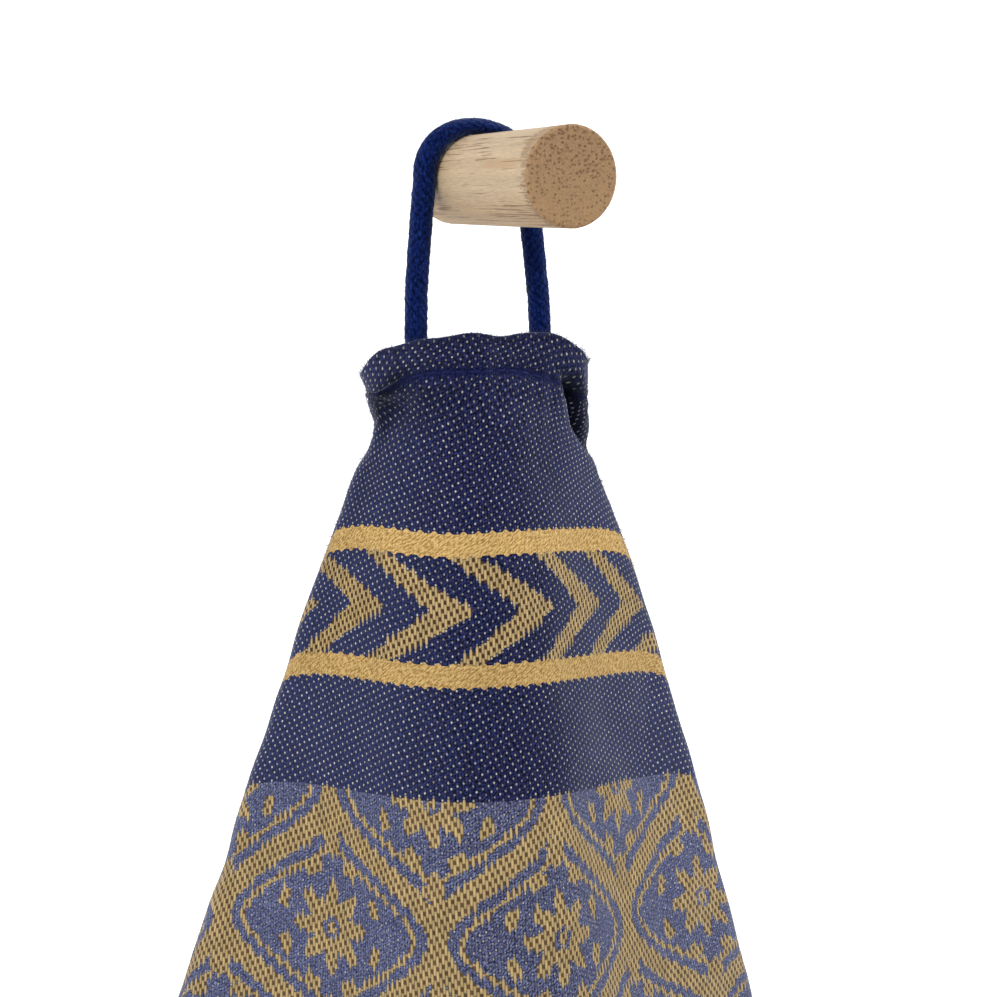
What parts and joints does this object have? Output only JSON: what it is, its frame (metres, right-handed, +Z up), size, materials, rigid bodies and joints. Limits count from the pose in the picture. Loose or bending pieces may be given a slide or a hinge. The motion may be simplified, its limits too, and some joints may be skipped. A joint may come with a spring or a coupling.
{
  "type": "tea towel hanging on a wall peg",
  "caption": "Woven tea towel hanging in soft folds from a round wooden wall peg, by a cord loop sewn behind the middle of its top hem.",
  "frame": {"origin": "centre of the peg's back face, where it meets the wall", "axes": "+Y into the wall along the peg's axis, +Z up, +X to the right as seen from the room"},
  "size_m": [0.243, 0.0784, 0.7605],
  "materials": {
    "cloth": "matt cotton weave, navy and gold bands with a blue and gold field",
    "cord": "matt braided cotton",
    "bamboo": "smooth, bare, fine grain"
  },
  "bodies": {
    "root": {"towel": "cloth", "hanging_loop": "cord", "peg": "bamboo"}
  },
  "joints": []
}
